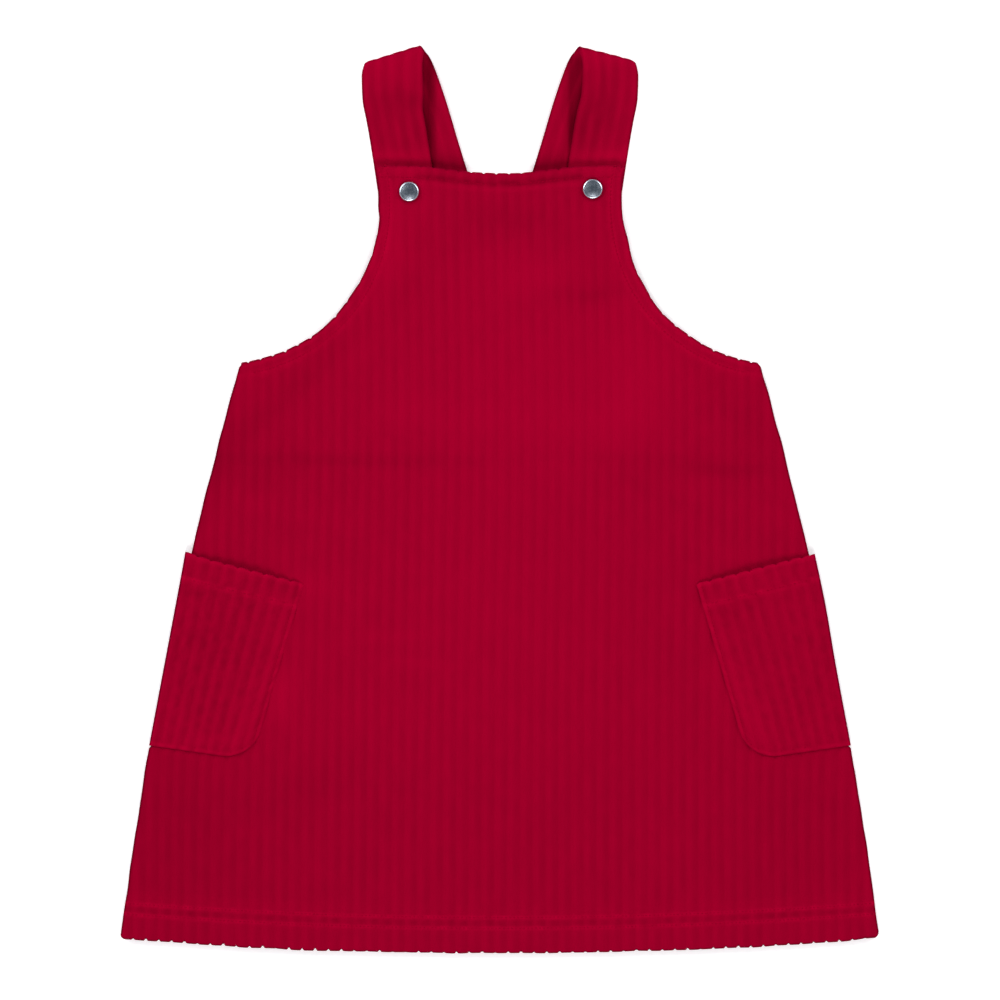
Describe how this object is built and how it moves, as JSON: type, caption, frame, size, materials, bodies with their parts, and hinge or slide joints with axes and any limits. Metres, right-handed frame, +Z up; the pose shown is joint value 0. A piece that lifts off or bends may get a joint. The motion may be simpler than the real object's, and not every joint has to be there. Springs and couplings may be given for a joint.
{
  "type": "pinafore dress",
  "caption": "toddler's pinafore dress in wide-rib velour, laid flat: bib, A-line skirt, straps folded at the shoulder and snapped under the bib, patch pockets wrapped round the sides",
  "frame": {"origin": "middle of the laid-flat dress's bounding box in plan, on the surface that it lies on", "axes": "+X across the dress to the viewer's right, +Y from the hem to the shoulder folds, +Z up from the surface, out of the front"},
  "size_m": [0.4014, 0.4807, 0.0103],
  "materials": {
    "rib_velour": "crimson wide-rib velour, matt with a soft nap",
    "polished_nickel": "polished nickel-plated snap"
  },
  "bodies": {
    "root": {"front_panel": "rib_velour", "back_panel": "rib_velour", "strap_left": "rib_velour", "strap_right": "rib_velour", "pocket_left": "rib_velour", "pocket_right": "rib_velour", "snap_cap_left": "polished_nickel", "snap_cap_right": "polished_nickel", "snap_socket_left": "polished_nickel", "snap_socket_right": "polished_nickel", "snap_stud_left": "polished_nickel", "snap_stud_right": "polished_nickel"}
  },
  "joints": []
}
